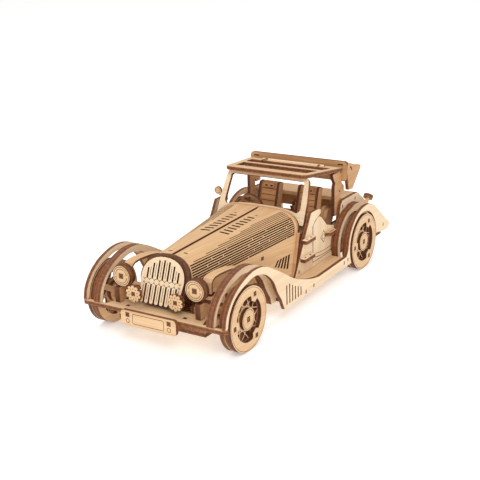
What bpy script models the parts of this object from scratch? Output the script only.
"""A classic open roadster built from laser-cut birch plywood plates.

Millimetres in this file are turned into metres by the MM factor. The car stands on the plane z = 0.
Its nose points to -Y and its left side to +X. Lengths along the car are counted from the front axle,
and one empty shifts the whole car so that its outline is centred on the world origin.
"""
import math

import bmesh
import bpy
from mathutils import Vector

MM = 0.001

# ---- driving dimensions (mm) ----
PLY = 3.0                    # thickness of every plywood plate
GAP = 0.3                    # clearance left between two touching pieces
WHEEL_R = 24.0
WHEEL_W = 9.5
WHEELBASE = 189.7
WHEEL_FACE_X = 62.9          # outer face of a wheel, from the centre plane
PLATE_INSET = 0.9            # outer side plate, in from the wheel's outer face
BODY_X = 46.0                # outer face of the body sides
HUB_R = 8.0
RIM_R = 16.0                 # inner radius of the wheel's outer ring
AXLE_R = 2.0
BORE_PLAY = 0.4

FLOOR_Z = 12.0               # underside of the floor and of the side plates
SILL_TOP = 19.5
SHELF_Z = 23.0               # underside of the bumper shelf
SHELF_FRONT = -30.0
SHELF_HALF = 62.8
TAIL_REACH = 56.4            # tail tip, behind the rear axle
ARCH_FRONT_Y = 52.0          # lower front corner of the side plate

HOOD_TOP_FRONT = 61.7
HOOD_TOP_REAR = 65.0
HOOD_HALF_FRONT = 20.3
HOOD_HALF_REAR = 39.0
HOOD_SHELL = 2.4
HOOD_FLARE = 5.4             # how far the hood's side leans out at the cowl
HOOD_GROOVE = 1.3            # half the groove between the hood halves
NOSE_Y = -2.0                # top of the hood's front edge
COWL_Y = 121.5               # top of the hood's rear edge
NOSE_LEAN = 21.0             # degrees, grille leaning back
COWL_LEAN = 31.0             # degrees, bulkhead leaning back
COWL_T = 2.8
SCREEN_LEAN = 26.0
SCREEN_H = 27.5              # height of the windscreen above the cowl, along its slope
SCREEN_HALF = 41.0

RAIL_X = 22.0                # inner face of a frame rail
RAIL_H = 15.0
DOOR_Y = 127.5               # hinge edge of a door
SEAT_X = 19.0
SEAT_W = 20.0
DECK_Z = 60.3
ROOF_FRONT_Y = 129.5
ROOF_REAR_LEAD = 7.0         # rear edge of the roof frame, ahead of the rear axle
ROOF_HALF_FRONT = 37.5
ROOF_HALF_REAR = 45.0
ROOF_DROP = 5.0                 # how far the roof falls from its front edge to its hinge
FLAP_HINGE_Z = 68.5
FLAP_TOP = 92.5
STEER_ARM = 12.0
GEAR_MODULE = 1.3
AXLE_TEETH = 12
DRUM_TEETH = 18
DRUM_LEAD = 4.2              # drum shaft, ahead of the rear axle
LAMP_X = 32.0
LAMP_Z = 46.4
LAMP_R = 7.6
LAMP_BEZEL = 0.8             # the bezel's radius beyond the lens
FOG_X = 18.3
FOG_Z = 36.7
FOG_R = 6.5

# ---- places that follow from them ----
REAR_Y = WHEELBASE
PLATE_X = WHEEL_FACE_X - PLATE_INSET
WHEEL_IN_X = WHEEL_FACE_X - WHEEL_W
KINGPIN_X = WHEEL_IN_X - 3.4
FLOOR_TOP = FLOOR_Z + PLY
KNUCKLE_Z = FLOOR_TOP + 4.0     # underside of the knuckles, over the tie rod
ROOF_Z = HOOD_TOP_REAR - 0.5 + SCREEN_H * math.cos(math.radians(SCREEN_LEAN)) + 1.1
SHELF_TOP = SHELF_Z + PLY
CARRIER_FRONT = SHELF_FRONT - GAP - PLY
CENTRE_Y = (CARRIER_FRONT + REAR_Y + TAIL_REACH) / 2

BIRCH = (0.80, 0.60, 0.38)
CREAM = (0.88, 0.76, 0.56)
CHAR = (0.16, 0.07, 0.03)
TAN = (0.62, 0.40, 0.22)
SEAT_TAN = (0.48, 0.26, 0.13)


# ---- helpers ----
def clear_scene():
    for obj in list(bpy.data.objects):
        bpy.data.objects.remove(obj, do_unlink=True)


def wood(name, colour):
    mat = bpy.data.materials.new(name)
    mat.use_nodes = True
    shader = mat.node_tree.nodes["Principled BSDF"]
    shader.inputs["Base Color"].default_value = (*colour, 1.0)
    shader.inputs["Roughness"].default_value = 0.65
    shader.inputs["Metallic"].default_value = 0.0
    mat.diffuse_color = (*colour, 1.0)
    return mat


def finish(obj, colour, parent, location, rotation=(0, 0, 0)):
    """Give an object its own material and its place, in mm and degrees, under a parent."""
    obj.data.materials.append(wood(obj.name, colour))
    bpy.context.scene.collection.objects.link(obj)
    obj.parent = parent
    obj.location = Vector(location) * MM
    obj.rotation_euler = [math.radians(a) for a in rotation]
    return obj


FLAT = (0, 0, 0)             # outline x, y is the car's x, y
SIDE = (90, 0, 90)           # outline x, y is the car's y, z
FRONT = (90, 0, 0)           # outline x, y is the car's x, z


def plate(name, loops, thickness, location, turn, colour, parent):
    """A flat plate: the first loop is its outline and the others are its holes."""
    curve = bpy.data.curves.new(name, "CURVE")
    curve.dimensions = "2D"
    curve.fill_mode = "BOTH"
    curve.extrude = thickness * MM / 2
    for loop in loops:
        spline = curve.splines.new("POLY")
        spline.points.add(len(loop) - 1)
        for point, (u, v) in zip(spline.points, loop):
            point.co = (u * MM, v * MM, 0, 1)
        spline.use_cyclic_u = True
    flat = bpy.data.objects.new(name, curve)
    mesh = bpy.data.meshes.new_from_object(flat)
    bpy.data.objects.remove(flat)
    bm = bmesh.new()
    bm.from_mesh(mesh)
    bmesh.ops.remove_doubles(bm, verts=bm.verts, dist=1e-7)
    return mesh_object(name, bm, colour, parent, location, turn)


def mesh_object(name, bm, colour, parent, location=(0, 0, 0), rotation=(0, 0, 0), smooth=False):
    bmesh.ops.recalc_face_normals(bm, faces=bm.faces)
    mesh = bpy.data.meshes.new(name)
    bm.to_mesh(mesh)
    bm.free()
    if smooth:
        mesh.shade_smooth()
        mesh.set_sharp_from_angle(angle=math.radians(35))
    return finish(bpy.data.objects.new(name, mesh), colour, parent, location, rotation)


def turned(name, profile, colour, parent, location, rotation=(0, 0, 0), steps=24):
    """A solid turned about its own Z axis; a profile point is (radius, height)."""
    bm = bmesh.new()
    verts = [bm.verts.new((r * MM, 0, h * MM)) for r, h in profile]
    edges = [bm.edges.new(pair) for pair in zip(verts, verts[1:])]
    if profile[0][0] > 0:
        edges.append(bm.edges.new((verts[-1], verts[0])))
    bmesh.ops.spin(bm, geom=verts + edges, cent=(0, 0, 0), axis=(0, 0, 1),
                   angle=math.tau, steps=steps, use_merge=True)
    bmesh.ops.remove_doubles(bm, verts=bm.verts, dist=1e-6)
    return mesh_object(name, bm, colour, parent, location, rotation, smooth=True)


def box(bm, low, high):
    """Add an axis-aligned box, given by two corners in mm."""
    size = [h - l for l, h in zip(low, high)]
    made = bmesh.ops.create_cube(bm, size=MM)["verts"]
    bmesh.ops.scale(bm, vec=size, verts=made)
    middle = [(l + h) / 2 * MM for l, h in zip(low, high)]
    bmesh.ops.translate(bm, vec=middle, verts=made)


def tool_box(name, low, high, parent):
    """A hidden box that a Boolean modifier adds or takes away."""
    bm = bmesh.new()
    box(bm, low, high)
    return hide_tool(mesh_object(name, bm, CHAR, parent))


def hide_tool(obj):
    obj.hide_render = True
    obj.display_type = "WIRE"
    return obj


def combine(obj, tool, operation):
    step = obj.modifiers.new(operation.lower(), "BOOLEAN")
    step.operation = operation
    step.solver = "EXACT"
    step.object = tool


def empty(name, location, parent, rotation=(0, 0, 0)):
    obj = bpy.data.objects.new(name, None)
    bpy.context.scene.collection.objects.link(obj)
    obj.parent = parent
    obj.location = Vector(location) * MM
    obj.rotation_euler = [math.radians(a) for a in rotation]
    return obj


def arc(centre, radius, start, end, steps):
    """Points of an arc; angles in degrees, both ends included."""
    points = []
    for i in range(steps + 1):
        a = math.radians(start + (end - start) * i / steps)
        points.append((centre[0] + radius * math.cos(a), centre[1] + radius * math.sin(a)))
    return points


def smooth_through(points, per_span=3):
    """Catmull-Rom points through a short list of places."""
    padded = [points[0]] + list(points) + [points[-1]]
    out = []
    for a, b, c, d in zip(padded, padded[1:], padded[2:], padded[3:]):
        for i in range(per_span):
            t = i / per_span
            out.append(tuple(0.5 * (2 * q + (r - p) * t + (2 * p - 5 * q + 4 * r - s) * t * t
                                    + (3 * q - p - 3 * r + s) * t ** 3)
                             for p, q, r, s in zip(a, b, c, d)))
    return out + [tuple(points[-1])]


def around_wheel(axle_y, gaps):
    """Places round a wheel, each given as (angle in degrees, gap beyond the tyre)."""
    return [(axle_y + (WHEEL_R + gap) * math.cos(math.radians(a)),
             WHEEL_R + (WHEEL_R + gap) * math.sin(math.radians(a))) for a, gap in gaps]


def rounded(half_w, low, high, radius, steps=3):
    """A rectangle symmetrical about the outline's upright axis, with round corners."""
    cx = half_w - radius
    return (arc((cx, low + radius), radius, -90, 0, steps) + arc((cx, high - radius), radius, 0, 90, steps)
            + arc((-cx, high - radius), radius, 90, 180, steps)
            + arc((-cx, low + radius), radius, 180, 270, steps))


def circle(centre, radius, steps=16):
    return arc(centre, radius, 0, 360 * (1 - 1 / steps), steps - 1)


def lean_y(y_top, z_top, lean, z):
    """Where a face that leans back by some degrees stands at height z."""
    return y_top - (z_top - z) * math.tan(math.radians(lean))


# ---- chassis ----
def make_floor(car):
    front = SHELF_FRONT + 12
    back = REAR_Y + TAIL_REACH - 16
    half = BODY_X - PLY - GAP
    nose = [(-38, front), (38, front), (38, 40), (half, 52)]
    tail = [(half, back - 10), (half - 10, back), (-half + 10, back), (-half, back - 10)]
    gear = (AXLE_TEETH / 2 + 1) * GEAR_MODULE + 1
    slot = [(-4, REAR_Y - gear), (4, REAR_Y - gear), (4, REAR_Y + gear), (-4, REAR_Y + gear)]
    plate("chassis_floor", [nose + tail + [(-half, 52), (-38, 40)], slot], PLY,
          (0, 0, FLOOR_Z + PLY / 2), FLAT, CREAM, car)


def make_rails(car, side, x_sign):
    base = FLOOR_TOP + GAP
    top = base + RAIL_H
    drum_y, drum_z = drum_place()
    ear = 7.0
    notch = 4.4
    notch_top = base + PLY + 1.2
    outline = [(-12, base), (STEER_ARM - notch, base), (STEER_ARM - notch, notch_top),
               (STEER_ARM + notch, notch_top), (STEER_ARM + notch, base), (REAR_Y + 30, base),
               (REAR_Y + 30, top), (drum_y + ear, top)]
    outline += arc((drum_y, drum_z), ear, 0, 180, 6)
    outline += [(drum_y - ear, top), (-12, top)]
    holes = [circle((REAR_Y, WHEEL_R), AXLE_R + BORE_PLAY), circle((drum_y, drum_z), AXLE_R + BORE_PLAY)]
    plate(f"frame_rail_{side}", [outline] + holes, PLY, (x_sign * (RAIL_X + PLY / 2), 0, 0),
          SIDE, BIRCH, car)


def beam_z():
    """Underside of the front axle beam, just above the frame rails."""
    return FLOOR_TOP + GAP + RAIL_H + GAP


def make_front_beam(car):
    end_r = WHEEL_IN_X - KINGPIN_X - 0.5
    outline = arc((KINGPIN_X, 0), end_r, -90, 90, 6) + arc((-KINGPIN_X, 0), end_r, 90, 270, 6)
    pins = [circle((sign * KINGPIN_X, 0), 1.5 + GAP, 12) for sign in (1, -1)]
    plate("front_axle_beam", [outline] + pins, PLY, (0, 0, beam_z() + PLY / 2), FLAT, BIRCH, car)


def make_shelf(car):
    rear_ends = -WHEEL_R - 2.6
    corner = 4.0
    inner = 42.0
    outline = arc((SHELF_HALF - corner, SHELF_FRONT + corner), corner, -90, 0, 4)
    outline += [(SHELF_HALF, rear_ends), (inner, rear_ends), (inner - 4, -14)]
    mirrored = [(-x, y) for x, y in reversed(outline)]
    plate("bumper_shelf", [outline + mirrored], PLY, (0, 0, SHELF_Z + PLY / 2), FLAT, BIRCH, car)


def make_number_carrier(car):
    plate("number_plate_carrier", [rounded(24, SHELF_Z - 7.5, SHELF_TOP + 1.2, 2.5)], PLY,
          (0, CARRIER_FRONT + PLY / 2, 0), FRONT, BIRCH, car)


# ---- side plates and fenders ----
FRONT_CROWN = [(173, 5.2), (160, 5.0), (146, 4.6), (130, 4.5), (112, 5.0), (96, 6.2), (84, 8.0),
               (72, 10.4), (60, 13.2), (49, 16.0), (38, 19.2), (27, 24.0), (16, 32.0)]
FRONT_ARCH = [(-3, 23.5), (8, 18.0), (22, 15.6), (37, 12.6), (51, 9.8), (65, 7.0), (78, 4.6),
              (90, 2.4), (103, 1.7), (128, 1.9), (152, 2.0), (172, 2.2)]
REAR_CROWN = [(178, 5.6), (160, 5.2), (140, 5.2), (120, 5.6), (103, 6.0), (88, 6.8), (73, 8.2),
              (60, 9.6), (48, 10.6)]


def fender_foot(gaps):
    """Where the crown or arch comes down on the bumper shelf."""
    angle, gap = gaps
    return around_wheel(0, [(angle, gap)])[0][0], SHELF_TOP + GAP


def side_outline():
    crown = [fender_foot(FRONT_CROWN[0])] + around_wheel(0, FRONT_CROWN[1:])
    sweep = [(66.5, SILL_TOP + 12.5), (81.5, SILL_TOP + 6.6), (95, SILL_TOP + 2.4), (108, SILL_TOP)]
    top = smooth_through(crown + sweep)
    rear = smooth_through([(REAR_Y - WHEEL_R - 9, SILL_TOP + 0.6)] + around_wheel(REAR_Y, REAR_CROWN))
    tip = (REAR_Y + TAIL_REACH, WHEEL_R + 0.8)
    tail = smooth_through([tip, (tip[0] - 4.5, tip[1] - 2.6), (tip[0] - 12, tip[1] - 3.4),
                           (REAR_Y + WHEEL_R + 4, WHEEL_R)])
    arch_r = WHEEL_R + 2.4
    low = -math.degrees(math.asin((WHEEL_R - FLOOR_Z) / arch_r))
    arch = arc((REAR_Y, WHEEL_R), arch_r, 0, 180 - low, 22)
    front = smooth_through(around_wheel(0, FRONT_ARCH[:-1]) + [fender_foot(FRONT_ARCH[-1])])
    return top, top + rear + tail + arch + [(ARCH_FRONT_Y, FLOOR_Z)] + front


def height_at(curve, y):
    for (y0, z0), (y1, z1) in zip(curve, curve[1:]):
        if y0 <= y <= y1 and z0 > WHEEL_R:
            return z0 + (z1 - z0) * (y - y0) / (y1 - y0)
    return SILL_TOP


def louvre_slots(top):
    slots = []
    for i in range(6):
        y = ARCH_FRONT_Y + 3.4 + 4.4 * i
        low = FLOOR_Z + 2.6
        high = min(height_at(top, y) - 6.0, low + 15.4)
        slots.append([(y - 0.8, low), (y + 0.8, low), (y + 0.8, high), (y - 0.8, high)])
    return slots


def make_side_plate(car, side, x_sign):
    top, outline = side_outline()
    plate(f"side_plate_{side}", [outline] + louvre_slots(top), PLY,
          (x_sign * (PLATE_X - PLY / 2), 0, 0), SIDE, CREAM, car)


def make_front_fender(car, side, x_sign):
    """Two plies glued together beside the body, under the same crown as the side plate."""
    crown = smooth_through([fender_foot(FRONT_CROWN[0])] + around_wheel(0, FRONT_CROWN[1:]), 2)
    arch = smooth_through(around_wheel(0, FRONT_ARCH[:-1]) + [fender_foot(FRONT_ARCH[-1])], 2)
    foot = FLOOR_TOP + GAP
    toe = [(ARCH_FRONT_Y + 4, SILL_TOP + 14), (ARCH_FRONT_Y + 4, foot), (ARCH_FRONT_Y - 3, foot)]
    x = BODY_X + GAP + PLY
    plate(f"front_fender_{side}", [crown + toe + arch], 2 * PLY, (x_sign * x, 0, 0), SIDE, TAN, car)


def rear_fender_outer():
    return WHEEL_R + 5.4


def make_rear_fender(car, side, x_sign):
    """Two plies glued together beside the body, arched over the rear wheel."""
    foot = FLOOR_TOP + GAP
    start = 180 + math.degrees(math.asin((WHEEL_R - foot) / rear_fender_outer()))
    crown = arc((REAR_Y, WHEEL_R), rear_fender_outer(), start, 96, 14)
    crown += smooth_through(around_wheel(REAR_Y, REAR_CROWN[5:] + [(33, 13), (19, 18)]), 2)
    inner_r = WHEEL_R + 1.2
    inner_start = 180 + math.degrees(math.asin((WHEEL_R - foot) / inner_r))
    inner = arc((REAR_Y, WHEEL_R), inner_r, 2, inner_start, 18)
    end = [(REAR_Y + TAIL_REACH - 12, WHEEL_R + 4.6), (REAR_Y + TAIL_REACH - 16, WHEEL_R + 1.2)]
    x = BODY_X + GAP + PLY
    plate(f"rear_fender_{side}", [crown + end + inner], 2 * PLY, (x_sign * x, 0, 0), SIDE, TAN, car)


def make_running_board(car, side, x_sign):
    inner = BODY_X + GAP
    outer = PLATE_X - PLY - GAP
    front = ARCH_FRONT_Y + 4 + GAP
    back = REAR_Y - rear_fender_outer() - 1.0
    mid = x_sign * (inner + outer) / 2
    half = (outer - inner) / 2
    outline = [(-half, front), (half, front), (half, back), (-half, back)]
    plate(f"running_board_{side}", [outline], PLY, (mid, 0, FLOOR_TOP + GAP + PLY / 2), FLAT, BIRCH, car)


def make_rear_crossbar(car):
    y = REAR_Y + WHEEL_R + 15
    half = PLATE_X - PLY - GAP
    bm_low = (-half, y - 5, FLOOR_TOP + 3)
    bm_high = (half, y + 5, FLOOR_TOP + 3 + PLY)
    bm = bmesh.new()
    box(bm, bm_low, bm_high)
    mesh_object("rear_crossbar", bm, BIRCH, car)


# ---- nose ----
def nose_outline(grow, low):
    """Front view of the nose: a tall arch; grow widens it, low is where it ends (along the lean)."""
    half = HOOD_HALF_FRONT + grow
    top = HOOD_TOP_FRONT - SHELF_TOP
    shoulder = 19.0
    upper = []
    for i in range(9):
        a = math.radians(90 * i / 8)
        upper.append((half * math.cos(a) ** 0.9, shoulder + (top + grow - shoulder) * math.sin(a) ** 0.9))
    left = [(-x, z) for x, z in reversed(upper[:-1])]
    return upper + left + [(-half + 5.5, low), (half - 5.5, low)]


def lean_scale():
    return 1 / math.cos(math.radians(NOSE_LEAN))


def nose_turn():
    return (90 - NOSE_LEAN, 0, 0)


def nose_point(offset):
    """Foot of the leaning nose on the shelf, moved along its facing direction."""
    lean = math.radians(NOSE_LEAN)
    y = lean_y(NOSE_Y, HOOD_TOP_FRONT, NOSE_LEAN, SHELF_TOP)
    return (0, y - offset * math.cos(lean), SHELF_TOP + offset * math.sin(lean))


def make_grille_arch(car):
    outer = [(x, z * lean_scale()) for x, z in nose_outline(1.0, 1.4)]
    inner = [(x, z * lean_scale()) for x, z in nose_outline(-6.0, 5.0)]
    plate("grille_arch", [outer, inner], PLY, nose_point(PLY / 2 + GAP), nose_turn(), CHAR, car)


def make_grille(car):
    """A leaning plate with seven gaps above the waist and seven open gaps below it."""
    half_waist = HOOD_HALF_FRONT - 1.2
    half_foot = 14.5
    waist = 17.0 * lean_scale()
    top = (HOOD_TOP_FRONT - SHELF_TOP - 1.7) * lean_scale()
    pitch = 4.4
    slot = 1.1
    arch = [(x, z * lean_scale()) for x, z in nose_outline(-1.7, 0)]
    outline = [(x, z) for x, z in arch if z > waist]
    outline += [(-half_waist + 1.5, waist - 6), (-half_foot - 1.8, waist - 7.5)]
    lower = [(-half_foot - 1.8, 1.6)]
    for i in range(7):
        x = (i - 3) * pitch
        lower += [(x - slot / 2, 1.6), (x - slot / 2, waist - 3)]
        lower += [(x + slot / 2, waist - 3), (x + slot / 2, 1.6)]
    outline += lower + [(half_foot + 1.8, 1.6), (half_foot + 1.8, waist - 7.5), (half_waist - 1.5, waist - 6)]
    gaps = []
    for i in range(7):
        x = (i - 3) * pitch
        end = top - 2.2 - 0.04 * x * x
        low = waist + 2
        gaps.append([(x - slot / 2, low), (x + slot / 2, low), (x + slot / 2, end), (x - slot / 2, end)])
    middle = nose_point(PLY + 2 * GAP + 0.4 * PLY)
    plate("grille", [outline] + gaps, PLY * 0.8, middle, nose_turn(), BIRCH, car)


def make_headlight(car, side, x_sign):
    front = -20.5
    bezel = LAMP_R + LAMP_BEZEL
    profile = [(0, 0), (LAMP_R, 0), (LAMP_R, PLY), (bezel, PLY), (bezel, 2 * PLY), (2.4, 2 * PLY),
               (2.4, 3 * PLY + 1.5), (0, 3 * PLY + 1.5)]
    turned(f"headlight_{side}", profile, BIRCH, car, (x_sign * LAMP_X, front, LAMP_Z), (-90, 0, 0))


def make_headlight_post(car, side, x_sign):
    y = -22.0
    top = LAMP_Z - LAMP_R - LAMP_BEZEL - GAP
    low = SHELF_TOP + GAP
    x = x_sign * (LAMP_X + 3.2)
    bm = bmesh.new()
    box(bm, (x - 2.2, y, low), (x + 2.2, y + 5, top))
    mesh_object(f"headlight_post_{side}", bm, CHAR, car)


def make_lamp_bracket_catwalk(car, side, x_sign):
    """A bent sheet from the headlight back along the hood; its front end carries the lamp's stem."""
    path = smooth_through([(-9.2, LAMP_Z - 5), (-8.8, LAMP_Z + 3), (-4, LAMP_Z + 6.5), (8, LAMP_Z + 6.5),
                           (20, LAMP_Z + 5), (34, LAMP_Z + 1), (47, LAMP_Z - 6)], 2)
    sheet = 1.6
    under = []
    for i, (y, z) in enumerate(path):
        before = path[max(i - 1, 0)]
        after = path[min(i + 1, len(path) - 1)]
        run = Vector((after[0] - before[0], after[1] - before[1])).normalized()
        under.append((y + run.y * sheet, z - run.x * sheet))
    x = x_sign * (LAMP_X + 2.8)
    plate(f"catwalk_{side}", [path + under[::-1]], 7.6, (x, 0, 0), SIDE, CREAM, car)


def make_fog_lamp(car, side, x_sign):
    front = -25.0
    arch_y = lean_y(NOSE_Y, HOOD_TOP_FRONT, NOSE_LEAN, FOG_Z) - 4.2
    length = arch_y - front - 3.2
    profile = [(0, 0), (FOG_R, 0), (FOG_R, PLY), (1.6, PLY), (1.6, length), (0, length)]
    turned(f"fog_lamp_{side}", profile, BIRCH, car, (x_sign * FOG_X, front, FOG_Z), (-90, 0, 0), 20)


# ---- hood ----
def hood_section(t, grow):
    """Half cross-section of the hood from the centre line out and down, as (x, z); t runs nose to cowl."""
    half = HOOD_HALF_FRONT + (HOOD_HALF_REAR - HOOD_HALF_FRONT) * t + grow
    top = HOOD_TOP_FRONT + (HOOD_TOP_REAR - HOOD_TOP_FRONT) * t + grow
    flat = 6.0 + 14.0 * t
    side_top = 47.0 + 4.0 * t
    bottom = 36.6 - 15.2 * t
    points = [(HOOD_GROOVE, top), (flat * 0.6, top - 0.15)]
    for i in range(8):
        a = math.radians(90 * i / 7)
        points.append((flat + (half - flat) * math.sin(a), side_top + (top - 0.5 - side_top) * math.cos(a)))
    points.append((half - 0.3 + HOOD_FLARE * t, bottom))
    return points


def hood_place(t, x, z):
    front = lean_y(NOSE_Y, HOOD_TOP_FRONT, NOSE_LEAN, z)
    rear = lean_y(COWL_Y, HOOD_TOP_REAR, COWL_LEAN, z) - GAP
    return (x * MM, (front + (rear - front) * t) * MM, z * MM)


def make_hood(car, side, x_sign):
    """One bent sheet: nearly flat above, rolled over the shoulder, then flat down the side."""
    bm = bmesh.new()
    rings = []
    stations = [0, 0.25, 0.5, 0.75, 1]
    for t in stations:
        outer = hood_section(t, 0)
        inner = hood_section(t, -HOOD_SHELL)
        inner[-1] = (inner[-1][0], outer[-1][1])
        loop = outer + inner[::-1]
        rings.append([bm.verts.new(hood_place(t, x_sign * x, z)) for x, z in loop])
    for a, b in zip(rings, rings[1:]):
        for i in range(len(a)):
            j = (i + 1) % len(a)
            bm.faces.new((a[i], a[j], b[j], b[i]))
    count = len(rings[0]) // 2
    for ring in (rings[0], rings[-1]):
        for i in range(count - 1):
            bm.faces.new((ring[i], ring[i + 1], ring[-2 - i], ring[-1 - i]))
    mesh_object(f"hood_{side}", bm, BIRCH, car)


def make_hood_spine(car):
    """A keel plate under the groove between the two hood halves."""
    front = NOSE_Y + 4
    rear = COWL_Y - 6
    drop = HOOD_SHELL + GAP + 0.5
    slope = (HOOD_TOP_REAR - HOOD_TOP_FRONT) / (COWL_Y - NOSE_Y)
    front_top = HOOD_TOP_FRONT + slope * 4 - drop
    rear_top = HOOD_TOP_FRONT + slope * (rear - NOSE_Y) - drop
    outline = [(front, front_top - 8), (rear - 5, rear_top - 10), (rear, rear_top), (front, front_top)]
    plate("hood_spine", [outline], PLY, (0, 0, 0), SIDE, CHAR, car)


# ---- cowl, windscreen and cabin ----
def make_bulkhead(car):
    """A slanted wall across the car behind the hood, slightly proud of it."""
    stretch = 1 / math.cos(math.radians(COWL_LEAN))
    low = FLOOR_TOP + GAP + 2.2
    section = hood_section(1, 0.9)
    upper = [(x, (z - low) * stretch) for x, z in section[1:-1]]
    foot = BODY_X - 0.1
    over_rail = (beam_z() + PLY + 1 - low) * stretch
    notch = RAIL_X + PLY + 1.5
    side = [(SCREEN_HALF + 1, (51 - low) * stretch), (foot, (26 - low) * stretch), (foot, 0.0),
            (notch, 0.0), (notch, over_rail)]
    outline = upper + side
    outline = outline + [(-x, z) for x, z in reversed(outline)]
    lean = math.radians(COWL_LEAN)
    y = lean_y(COWL_Y, HOOD_TOP_REAR, COWL_LEAN, low)
    middle = (0, y + COWL_T / 2 * math.cos(lean), low - COWL_T / 2 * math.sin(lean))
    plate("cowl_bulkhead", [outline], COWL_T, middle, (90 - COWL_LEAN, 0, 0), CHAR, car)


def make_windscreen(car):
    """A leaning frame with one large opening, standing on the bulkhead's rear."""
    bar = 4.6
    top_half = SCREEN_HALF - 2.4
    foot = -11.0
    outer = [(SCREEN_HALF, foot), (SCREEN_HALF - 0.6, 8)]
    outer += arc((top_half - 4, SCREEN_H - 4), 4, 0, 90, 4)
    outer += [(-x, z) for x, z in reversed(outer)]
    hole = [(10, 1.4), (20, 0.8), (28, -0.6)]
    hole += arc((SCREEN_HALF - bar - 5, 2.4), 4.4, -75, 0, 4)
    hole += arc((top_half - bar - 1.4, SCREEN_H - 3 - 2), 2, 0, 90, 3)
    hole += [(-x, z) for x, z in reversed(hole)]
    lean = math.radians(SCREEN_LEAN)
    y = COWL_Y + COWL_T / math.cos(math.radians(COWL_LEAN)) + 0.2
    middle = (0, y + PLY / 2 * math.cos(lean), HOOD_TOP_REAR - 0.5 - PLY / 2 * math.sin(lean))
    plate("windscreen_frame", [outer, hole], PLY, middle, (90 - SCREEN_LEAN, 0, 0), CREAM, car)


def door_rear_arc(clearance, low, high, steps=5):
    """Points up the door's rear edge, which follows the rear fender."""
    radius = rear_fender_outer() + clearance
    first = 180 + math.degrees(math.asin((WHEEL_R - low) / radius))
    last = 180 - math.degrees(math.asin((high - WHEEL_R) / radius))
    return arc((REAR_Y, WHEEL_R), radius, first, last, steps)


DOOR_TOP = [(0.3, 52.2), (4.2, 55.6), (11.5, 58.3), (17.5, 54.2), (24.5, 47.5)]
SILL_LINE = 22.0


def make_body_side(car, side, x_sign):
    """The cowl side, which laps over the door's top, with the sill strip under the door."""
    base = FLOOR_TOP + GAP
    cowl_back = COWL_Y + COWL_T / math.cos(math.radians(COWL_LEAN)) + GAP
    rear_of = lean_y(cowl_back, HOOD_TOP_REAR, COWL_LEAN, base)
    front_top = lean_y(cowl_back, HOOD_TOP_REAR, COWL_LEAN, 62.5)
    seam = [(DOOR_Y + y - 0.4, z + 0.8) for y, z in DOOR_TOP[:3]]
    lap = [(DOOR_Y + 14.2, 60.8), (DOOR_Y + 13.6, 63.6), (DOOR_Y + 9.5, 64.8), (front_top + 1.5, 64.8)]
    outline = [(rear_of, base), (REAR_Y - 17, base), (REAR_Y - 17, SILL_LINE), (DOOR_Y - 0.6, SILL_LINE),
               (DOOR_Y - 0.6, seam[0][1] - 0.6)]
    outline += seam[1:] + lap + [(front_top, 62.5)]
    plate(f"body_side_{side}", [outline], PLY, (x_sign * (BODY_X - PLY / 2), 0, 0), SIDE, CREAM, car)


def make_door(car, side, x_sign):
    """A door on an upright hinge at its front edge; the empty stands on the hinge line."""
    hinge = empty(f"door_hinge_{side}", (x_sign * BODY_X, DOOR_Y, 0), car)
    low = SILL_LINE + 0.5
    top = [(DOOR_Y + y, z) for y, z in smooth_through(DOOR_TOP, 2)]
    rear = door_rear_arc(1.3, low, 43.0)
    outline = [(DOOR_Y, low)] + rear + [top[-1]] + top[-2::-1]
    local = [(y - DOOR_Y, z) for y, z in outline]
    plate(f"door_{side}", [local], PLY, (-x_sign * PLY / 2, 0, 0), SIDE, CREAM, hinge)


def make_dashboard(car):
    """An upright plate under the windscreen's foot, with a hole for the steering column."""
    half = BODY_X - PLY - GAP - 1
    y = DOOR_Y - 0.4
    foot = 47.5
    middle, rake = column_axis()
    column_z = middle[2] - (middle[1] - y) * math.tan(math.radians(rake))
    outline = [(half, 0), (half, 7.5), (half - 5, 10.9), (-half + 5, 10.9), (-half, 7.5), (-half, 0)]
    hole = circle((-SEAT_X - 1, column_z - foot), 3.4, 14)
    plate("dashboard", [outline, hole], PLY, (0, y, foot), FRONT, BIRCH, car)


def column_axis():
    """Middle of the steering wheel and the column's rake in degrees below level."""
    return (-SEAT_X - 1, DOOR_Y + 15.5, 59.0), 22.0


def make_steering_wheel(car):
    middle, rake = column_axis()
    hub = empty("column_axis", middle, car, (90 + rake, 0, 0))
    radius = 10.5
    rim = 2.2
    outer = circle((0, 0), radius, 24)
    windows = []
    for start in (30, 150, 270):
        inside = arc((0, 0), radius - rim, start + 12, start + 108, 6)
        windows.append(inside + arc((0, 0), 3.2, start + 92, start + 28, 3))
    plate("steering_wheel", [outer] + windows, PLY * 0.8, (0, 0, 0), FLAT, TAN, hub)
    profile = [(0, PLY * 0.4 + GAP), (1.5, PLY * 0.4 + GAP), (1.5, 24.5), (0, 24.5)]
    turned("steering_column", profile, BIRCH, hub, (0, 0, 0), (0, 0, 0), 12)


def make_seat(car, side, x_sign):
    """Side profile of a bucket seat, run across its width."""
    base = FLOOR_TOP + GAP + RAIL_H + GAP
    y = REAR_Y - 45
    profile = [(y, base), (y + 24, base), (y + 33.5, 70.0), (y + 31.5, 71.5), (y + 28.5, 70.6),
               (y + 20.5, base + 10.5), (y + 2.5, base + 9.5), (y, base + 7.5)]
    plate(f"seat_{side}", [profile], SEAT_W, (x_sign * SEAT_X, 0, 0), SIDE, SEAT_TAN, car)


# ---- rear body ----
def deck_break():
    return REAR_Y + 21.5, REAR_Y + 43.0


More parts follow.
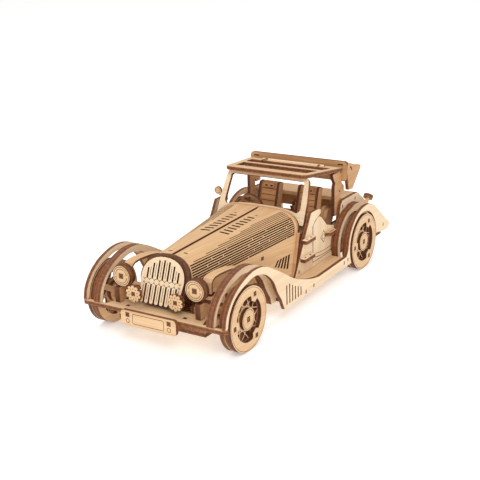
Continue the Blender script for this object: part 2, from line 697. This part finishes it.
def make_quarter_panel(car, side, x_sign):
    flat_end, slope_end = deck_break()
    low = WHEEL_R + AXLE_R + 1.5
    outline = [(REAR_Y - 16.6, low), (slope_end + 4, low), (slope_end + 4, low + 6), (slope_end, 45.0),
               (flat_end, DECK_Z), (REAR_Y - 8.5, DECK_Z), (REAR_Y - 11.5, 57.0), (REAR_Y - 16.6, 40.0)]
    plate(f"quarter_panel_{side}", [outline], PLY, (x_sign * (BODY_X - PLY / 2), 0, 0), SIDE, CREAM, car)


def make_rear_deck(car):
    """A deck that turns down over the tail, as one bent strip between the quarter panels."""
    flat_end, slope_end = deck_break()
    half = BODY_X - PLY - GAP
    start = REAR_Y - 1.5
    top = [(start, DECK_Z), (flat_end, DECK_Z), (slope_end, 45.0), (slope_end + 3.6, 33.0)]
    under = [(slope_end + 0.6, 33.0), (slope_end - 2.6, 43.6), (flat_end - 1, DECK_Z - PLY)]
    under.append((start, DECK_Z - PLY))
    plate("rear_deck", [top + under], 2 * half, (0, 0, 0), SIDE, BIRCH, car)


def make_tail_lamp(car, side, x_sign):
    profile = [(0, 0), (4.2, 0), (4.2, PLY), (1.6, PLY), (1.6, PLY + 6.5), (0, PLY + 6.5)]
    x = x_sign * (BODY_X + 2 * GAP + 4.2)
    angle = 40
    reach = WHEEL_R + 12.6
    foot = (REAR_Y + reach * math.cos(math.radians(angle)), WHEEL_R + reach * math.sin(math.radians(angle)))
    lean = 50
    away = PLY + 6.5 + GAP
    y = foot[0] + away * math.cos(math.radians(lean))
    z = foot[1] + away * math.sin(math.radians(lean))
    turned(f"tail_lamp_{side}", profile, TAN, car, (x, y, z), (90 + lean, 0, 0), 18)


def make_mirror(car):
    y = COWL_Y + 9.0
    profile = [(0, 0), (3.3, 0), (3.3, 2.0), (0, 2.0)]
    turned("mirror_right", profile, BIRCH, car, (-SCREEN_HALF - 3.8, y, 71.5), (90, 0, 0), 16)


# ---- folding top ----
def roof_rear_y():
    return REAR_Y - ROOF_REAR_LEAD


def make_roof_frame(car):
    """A tapered frame with two openings, hinged along its lower, rear edge."""
    rear = roof_rear_y()
    hinge = empty("roof_hinge", (0, rear, ROOF_Z - ROOF_DROP), car)
    length = rear - ROOF_FRONT_Y

    def half_at(share):
        return ROOF_HALF_FRONT + (ROOF_HALF_REAR - ROOF_HALF_FRONT) * share

    def band(start, end, rail):
        a = half_at(start) - rail
        b = half_at(end) - rail
        y0 = -length * (1 - start)
        y1 = -length * (1 - end)
        return [(-a, y0), (a, y0), (b, y1), (-b, y1)]

    corner = 3.0
    front = -length
    outline = [(half_at(1), 0), (-half_at(1), 0), (-half_at(0.05), front + corner),
               (-half_at(0) + corner, front), (half_at(0) - corner, front), (half_at(0.05), front + corner)]
    openings = [band(0.2, 0.5, 5.5), band(0.6, 0.84, 5.5)]
    slope = math.asin(ROOF_DROP / length)
    middle = (0, PLY / 2 * math.sin(slope), PLY / 2 * math.cos(slope))
    plate("roof_frame", [outline] + openings, PLY, middle, (-math.degrees(slope), 0, 0), BIRCH, hinge)


def make_roof_leg(car, side, x_sign):
    """A leg that stands on the deck and holds the roof's hinge edge."""
    top = ROOF_Z - ROOF_DROP - GAP
    foot = DECK_Z - PLY - 9
    outline = [(REAR_Y - 20, top), (REAR_Y - 18.5, top - 4.0), (REAR_Y - 15.2, 76.5), (REAR_Y - 16.6, 74.0),
               (REAR_Y - 16.6, foot), (REAR_Y - 8.6, foot), (REAR_Y - 8.0, 70.0), (REAR_Y - 5.5, 66.5),
               (REAR_Y + 1.2, 66.5), (REAR_Y + 1.0, 71.0), (REAR_Y - 3.2, 74.5), (REAR_Y - 3.6, top - 3.0),
               (REAR_Y - 7.6, top)]
    x = BODY_X - PLY - GAP - PLY / 2
    plate(f"roof_leg_{side}", [outline], PLY, (x_sign * x, 0, 0), SIDE, TAN, car)


def make_flap(car):
    """An upright panel with two openings and a wing at each end, hinged low down."""
    hinge = empty("flap_hinge", (0, REAR_Y + 2.5, FLAP_HINGE_Z), car)
    half = BODY_X + 1.2
    low = 7.0
    high = FLAP_TOP - FLAP_HINGE_Z
    panel = rounded(half, low, high, 3.0)
    openings = []
    for sign in (1, -1):
        near, far = sign * 4, sign * 30
        openings.append([(near, low + 4), (far, low + 4), (far, low + 9), (near, low + 9)])
    flap = plate("rear_flap", [panel] + openings, PLY, (0, -3.5, 0), FRONT, TAN, hinge)
    wing = [(-3.5, high - 0.8), (20.0, high - 7.5), (22.2, high - 11), (6.5, -1.6), (-1.2, -1.0),
            (-5.0, high - 8)]
    for sign in (1, -1):
        piece = plate(f"flap_wing_{sign}", [wing], PLY, (sign * (half - PLY / 2), 0, 0), SIDE, TAN, hinge)
        combine(flap, hide_tool(piece), "UNION")


# ---- running gear ----
def make_wheel(name, parent, location, x_sign, bore):
    """A deep outer ring, a thin lattice disc and a proud hub; the bore runs along X."""
    disc = WHEEL_W - 3.4
    profile = [(bore, 2.6), (RIM_R - 1, 2.6), (RIM_R - 1, 0), (WHEEL_R, 0), (WHEEL_R, WHEEL_W),
               (RIM_R, WHEEL_W), (RIM_R, disc), (HUB_R, disc), (HUB_R, WHEEL_W - 0.6), (bore, WHEEL_W - 0.6)]
    turned(name, profile, BIRCH, parent, location, (0, 90 * x_sign, 0), 36)


def make_rear_axle(car):
    spin = empty("rear_axle_line", (0, REAR_Y, WHEEL_R), car)
    half = WHEEL_FACE_X - 0.4
    rod = [(0, -half), (AXLE_R, -half), (AXLE_R, half), (0, half)]
    turned("rear_axle", rod, TAN, spin, (0, 0, 0), (0, 90, 0), 16)
    for side, x_sign in (("left", 1), ("right", -1)):
        make_wheel(f"wheel_rear_{side}", spin, (x_sign * WHEEL_IN_X, 0, 0), x_sign, AXLE_R + GAP)
    gear = gear_outline(AXLE_TEETH, 0.0)
    bore = circle((0, 0), AXLE_R + GAP)
    plate("axle_gear", [gear, bore], PLY, (0, 0, 0), SIDE, TAN, spin)


def drum_place():
    centre = (AXLE_TEETH + DRUM_TEETH) * GEAR_MODULE / 2
    return REAR_Y - DRUM_LEAD, WHEEL_R + math.sqrt(centre ** 2 - DRUM_LEAD ** 2)


def gear_outline(teeth, phase):
    """Involute teeth, thinned a little for backlash; phase in degrees turns the whole gear."""
    pitch_r = teeth * GEAR_MODULE / 2
    pressure = math.radians(25)
    base_r = pitch_r * math.cos(pressure)
    tip_r = pitch_r + 0.9 * GEAR_MODULE
    root_r = pitch_r - 1.2 * GEAR_MODULE
    backlash = 0.35
    half_tooth = math.pi / (2 * teeth) - backlash / (2 * pitch_r)
    at_pitch = math.tan(pressure) - pressure
    flank = []
    for i in range(4):
        r = max(base_r, root_r) + (tip_r - max(base_r, root_r)) * i / 3
        turn = math.acos(min(1.0, base_r / r))
        flank.append((r, half_tooth + at_pitch - (math.tan(turn) - turn)))
    points = []
    for k in range(teeth):
        middle = math.radians(phase) + math.tau * k / teeth
        points.append((root_r, middle - flank[0][1]))
        points += [(r, middle - w) for r, w in flank]
        points += [(r, middle + w) for r, w in reversed(flank)]
        points.append((root_r, middle + flank[0][1]))
    return [(r * math.cos(a), r * math.sin(a)) for r, a in points]


def make_drum(car):
    """The rubber-band drum across the car, and the gear on it that meshes with the axle gear."""
    y, z = drum_place()
    spin = empty("drum_line", (0, y, z), car)
    towards = math.degrees(math.atan2(z - WHEEL_R, y - REAR_Y))
    tooth = 360 / AXLE_TEETH
    offset = (towards / tooth) % 1.0 * tooth
    phase = towards + 180 + offset * AXLE_TEETH / DRUM_TEETH + 180 / DRUM_TEETH
    gear = gear_outline(DRUM_TEETH, phase)
    plate("drive_gear", [gear, circle((0, 0), AXLE_R + GAP)], PLY, (0, 0, 0), SIDE, TAN, spin)
    inner = RAIL_X + PLY + 1
    flange = 9.0
    disc = 7.0
    far_end = -RAIL_X - PLY - 3
    profile = [(0, far_end), (AXLE_R, far_end), (AXLE_R, inner), (flange, inner),
               (flange, inner + PLY), (disc, inner + PLY), (disc, inner + 2 * PLY), (0, inner + 2 * PLY)]
    turned("drum_shaft", profile, TAN, spin, (0, 0, 0), (0, 90, 0), 24)


def make_knuckle(car, side, x_sign):
    """Kingpin, stub axle and steering arm in one piece, turning on an upright axis."""
    pivot = empty(f"kingpin_{side}", (x_sign * KINGPIN_X, 0, 0), car)
    top = beam_z() - GAP
    reach = WHEEL_IN_X - KINGPIN_X - GAP
    bm = bmesh.new()
    ends = sorted((x_sign * reach, -x_sign * 3.4))
    box(bm, (ends[0], -4, KNUCKLE_Z), (ends[1], 4, top))
    body = mesh_object(f"steering_knuckle_{side}", bm, BIRCH, pivot)
    arm_ends = sorted((x_sign * 1.6, -x_sign * 2.4))
    arm_top = KNUCKLE_Z + PLY
    arm = tool_box(f"arm_{side}", (arm_ends[0], 3.5, KNUCKLE_Z), (arm_ends[1], STEER_ARM + 2, arm_top), pivot)
    combine(body, arm, "UNION")
    pin = turned(f"pin_{side}", [(0, top - 1), (1.5, top - 1), (1.5, top + PLY + 2), (0, top + PLY + 2)],
                 BIRCH, pivot, (0, 0, 0), (0, 0, 0), 12)
    combine(body, hide_tool(pin), "UNION")
    stub_end = WHEEL_FACE_X - KINGPIN_X - 0.4
    stub = turned(f"stub_{side}", [(0, 1), (AXLE_R, 1), (AXLE_R, stub_end), (0, stub_end)],
                  BIRCH, pivot, (0, 0, WHEEL_R), (0, 90 * x_sign, 0), 16)
    combine(body, hide_tool(stub), "UNION")
    under = KNUCKLE_Z - PLY - 0.9
    link = turned(f"link_{side}", [(0, under), (1.3, under), (1.3, KNUCKLE_Z + 1), (0, KNUCKLE_Z + 1)],
                  BIRCH, pivot, (-x_sign * 0.4, STEER_ARM, 0), (0, 0, 0), 12)
    combine(body, hide_tool(link), "UNION")
    hub = (x_sign * (WHEEL_IN_X - KINGPIN_X), 0, WHEEL_R)
    make_wheel(f"wheel_front_{side}", pivot, hub, x_sign, AXLE_R + BORE_PLAY)


def make_tie_rod(car):
    half = KINGPIN_X - 0.4
    z = KNUCKLE_Z - GAP - PLY / 2
    outline = arc((half, 0), 2.8, -90, 90, 6) + arc((-half, 0), 2.8, 90, 270, 6)
    holes = [circle((sign * half, 0), 1.3 + 0.5, 12) for sign in (1, -1)]
    plate("tie_rod", [outline] + holes, PLY * 0.8, (0, STEER_ARM, z), FLAT, TAN, car)


def build():
    clear_scene()
    car = empty("car", (0, -CENTRE_Y, 0), None)
    make_floor(car)
    make_front_beam(car)
    make_shelf(car)
    make_number_carrier(car)
    make_grille_arch(car)
    make_grille(car)
    make_hood_spine(car)
    make_bulkhead(car)
    make_windscreen(car)
    make_dashboard(car)
    make_steering_wheel(car)
    make_rear_deck(car)
    make_rear_crossbar(car)
    make_mirror(car)
    make_roof_frame(car)
    make_flap(car)
    make_rear_axle(car)
    make_drum(car)
    make_tie_rod(car)
    both_sides = (make_rails, make_side_plate, make_front_fender, make_rear_fender, make_running_board,
                  make_headlight, make_headlight_post, make_lamp_bracket_catwalk, make_fog_lamp, make_hood,
                  make_body_side, make_door, make_seat, make_quarter_panel, make_tail_lamp, make_roof_leg,
                  make_knuckle)
    for side, x_sign in (("left", 1), ("right", -1)):
        for make in both_sides:
            make(car, side, x_sign)


build()
